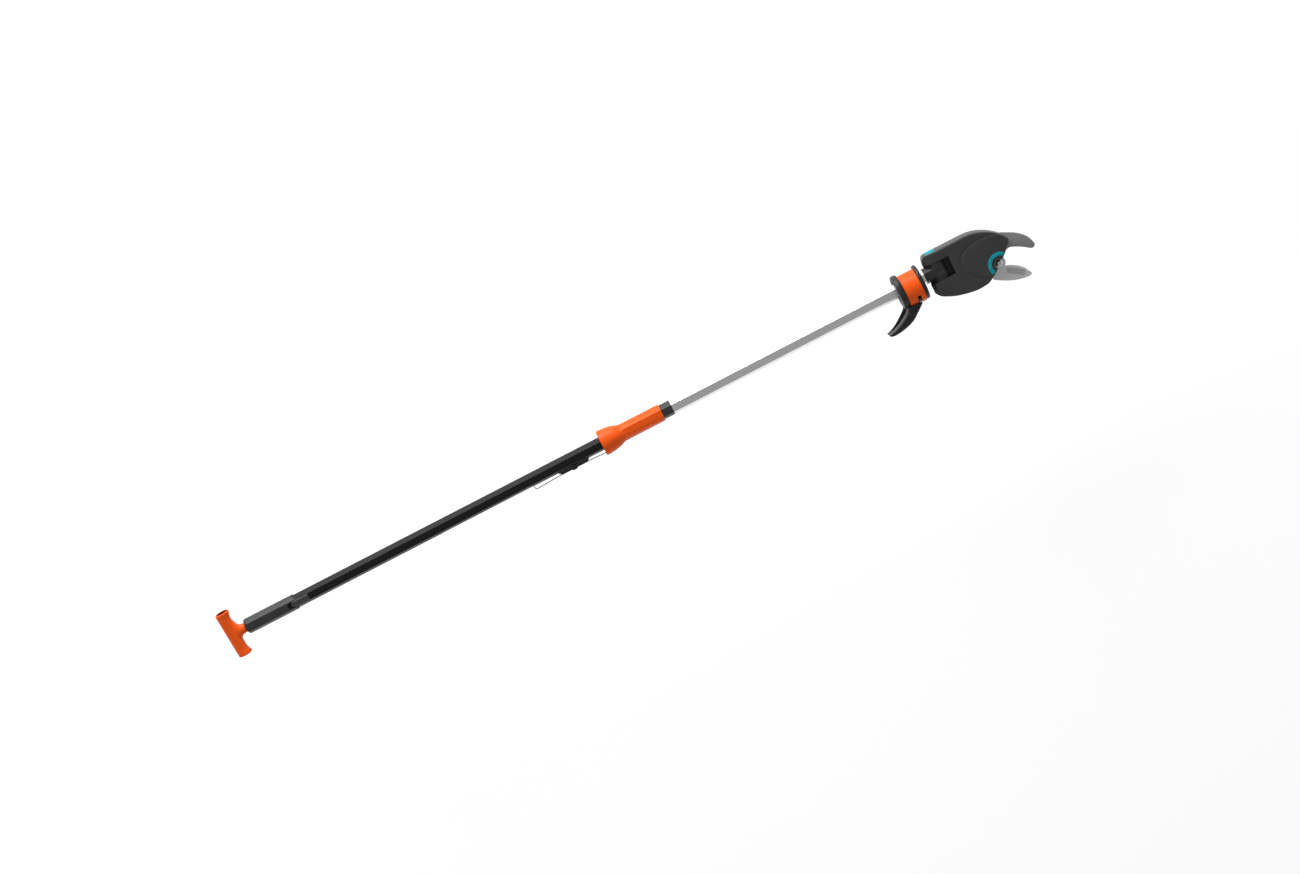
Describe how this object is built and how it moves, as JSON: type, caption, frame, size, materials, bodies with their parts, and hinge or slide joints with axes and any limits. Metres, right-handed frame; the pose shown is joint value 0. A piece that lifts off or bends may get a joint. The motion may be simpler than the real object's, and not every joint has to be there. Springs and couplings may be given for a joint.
{
  "type": "tree pruner pole",
  "caption": "Long pull-cord tree pruner: hexagonal two-part pole with T-handle, slide handle, branch hook and a swivelling bypass blade head.",
  "frame": {"origin": "middle of the T-bar, where its bore crosses the axis of the pole", "axes": "+X along the pole towards the blades, +Y across the pole in the plane of the blades, towards the release button, +Z out of the front face of the head casing"},
  "size_m": [1.6033, 0.1301, 0.0654],
  "materials": {
    "orange_plastic": "satin moulded",
    "grip_plastic": "matte moulded",
    "black_plastic": "satin moulded",
    "casing_plastic": "fine grained",
    "cyan_plastic": "satin moulded",
    "teal_plastic": "satin moulded",
    "bearing_plastic": "natural",
    "black_tube": "black coated",
    "bare_aluminium": "drawn, satin",
    "bright_steel": "zinc plated",
    "blade_steel": "coated and ground",
    "dark_steel": "grey coated",
    "bronze": "turned",
    "cord": "braided"
  },
  "bodies": {
    "pole": {"lower_tube": "black_tube", "upper_tube": "bare_aluminium", "joint_collar": "grip_plastic", "grip_sleeve": "grip_plastic", "stem_bush": "bearing_plastic", "hook_collar": "black_plastic", "collar_band": "orange_plastic", "hook_pin": "bright_steel", "collar_screw": "bright_steel", "neck": "casing_plastic"},
    "t_handle": {"t_handle": "orange_plastic", "cord_anchor_pin": "bright_steel", "draw_cord": "cord"},
    "slide_handle": {"slide_handle": "orange_plastic", "slide_bushes": "bearing_plastic", "link_wire": "bright_steel", "wire_shoe": "black_plastic", "shuttle": "bearing_plastic"},
    "latch": {"grip_latch": "grip_plastic"},
    "hook": {"branch_hook": "black_plastic"},
    "head": {"front_cover": "casing_plastic", "rear_cover": "casing_plastic", "cover_screws": "bright_steel", "counter_screws": "bright_steel", "pivot_ring": "teal_plastic", "counter_blade": "dark_steel", "pivot_bush": "bronze", "pivot_washer": "bright_steel", "pivot_bolt": "bright_steel", "pivot_nut": "bright_steel", "swivel_pin_upper": "bright_steel", "swivel_pin_lower": "bright_steel", "head_pulley_pin": "bright_steel", "head_cord": "cord", "button_spring": "bright_steel", "return_spring": "bright_steel"},
    "blade": {"cutting_blade": "blade_steel", "arm_pulley_pin": "bright_steel"},
    "button": {"release_button": "cyan_plastic", "button_plunger": "bright_steel"},
    "arm_pulley": {"arm_pulley": "bearing_plastic"},
    "head_pulley": {"head_pulley_wheel": "bearing_plastic"}
  },
  "joints": [
    {"name": "slide_handle_pull", "type": "slide", "parent": "pole", "child": "slide_handle", "axis": [-1, 0, 0], "range_m": [0, 0.18]},
    {"name": "t_handle_pull", "type": "slide", "parent": "pole", "child": "t_handle", "axis": [-1, 0, 0], "range_m": [0, 0.18]},
    {"name": "blade_cut", "type": "hinge", "parent": "head", "child": "blade", "pos_m": [1.517, -0.0397, 0.0016], "axis": [0, 0, 1], "range_deg": [0, 66], "deforming": ["head_cord", "return_spring"]},
    {"name": "head_swivel", "type": "hinge", "parent": "pole", "child": "head", "pos_m": [1.4145, 0, 0], "axis": [0, 1, 0], "range_deg": [-100, 100]},
    {"name": "button_press", "type": "slide", "parent": "head", "child": "button", "axis": [0, -1, 0], "range_m": [0, 0.004], "stiffness_N_per_m": 900, "deforming": ["button_spring"]},
    {"name": "latch_slide", "type": "slide", "parent": "pole", "child": "latch", "axis": [-1, 0, 0], "range_m": [0, 0.007]},
    {"name": "hook_fold", "type": "hinge", "parent": "pole", "child": "hook", "pos_m": [1.3608, -0.032, 0], "axis": [0, 0, 1], "range_deg": [0, 30]},
    {"name": "arm_pulley_spin", "type": "hinge", "parent": "blade", "child": "arm_pulley", "pos_m": [1.53408, -0.00133, 0.0078], "axis": [0, 0, 1], "continuous": true},
    {"name": "head_pulley_spin", "type": "hinge", "parent": "head", "child": "head_pulley", "pos_m": [1.458, -0.014, 0.0058], "axis": [0, 0, 1], "continuous": true}
  ],
  "couplings": [
    {"joint": "t_handle_pull", "follows": "slide_handle_pull", "ratio": 1},
    {"joint": "blade_cut", "follows": "slide_handle_pull", "rad_per_m": 6.399}
  ]
}
